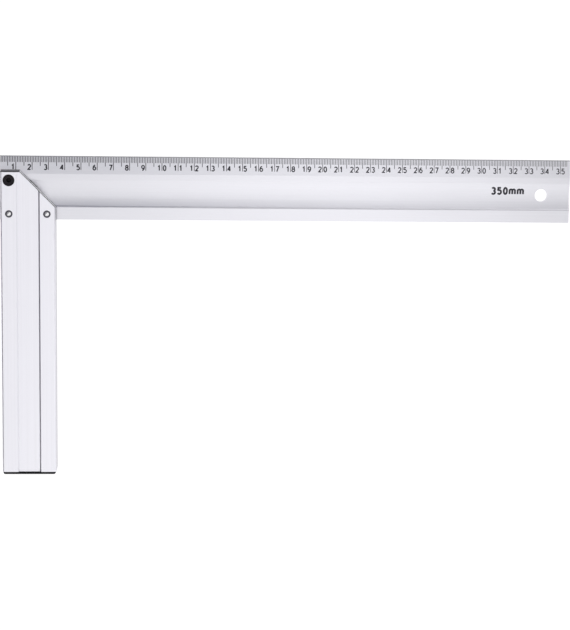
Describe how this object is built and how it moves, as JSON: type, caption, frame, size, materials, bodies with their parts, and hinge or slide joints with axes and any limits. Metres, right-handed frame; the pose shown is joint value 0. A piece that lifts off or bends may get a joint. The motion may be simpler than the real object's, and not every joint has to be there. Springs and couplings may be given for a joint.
{
  "type": "flat square",
  "caption": "Flat marking-out square: aluminium blade with bevelled millimetre edge, finger scoop and hanging hole, riveted and screwed into a mitred hollow handle with a plastic end cap.",
  "frame": {"origin": "middle of the outline, on the plane of the handle's back face that the square lies on", "axes": "+X along the blade away from the handle, +Y up the handle towards the scale edge, +Z out of the face that carries the scale"},
  "size_m": [0.356, 0.1998, 0.016],
  "materials": {
    "blade_aluminium": "satin anodised, fine lines along the extrusion",
    "handle_aluminium": "satin anodised, fine lines along the extrusion",
    "cap_plastic": "moulded, matt",
    "rivet_steel": "plated, dull",
    "screw_black": "black oxide"
  },
  "bodies": {
    "root": {"blade": "blade_aluminium", "handle": "handle_aluminium", "end_cap": "cap_plastic", "rivet_outer": "rivet_steel", "rivet_inner": "rivet_steel", "clamp_screw": "screw_black"}
  },
  "joints": []
}
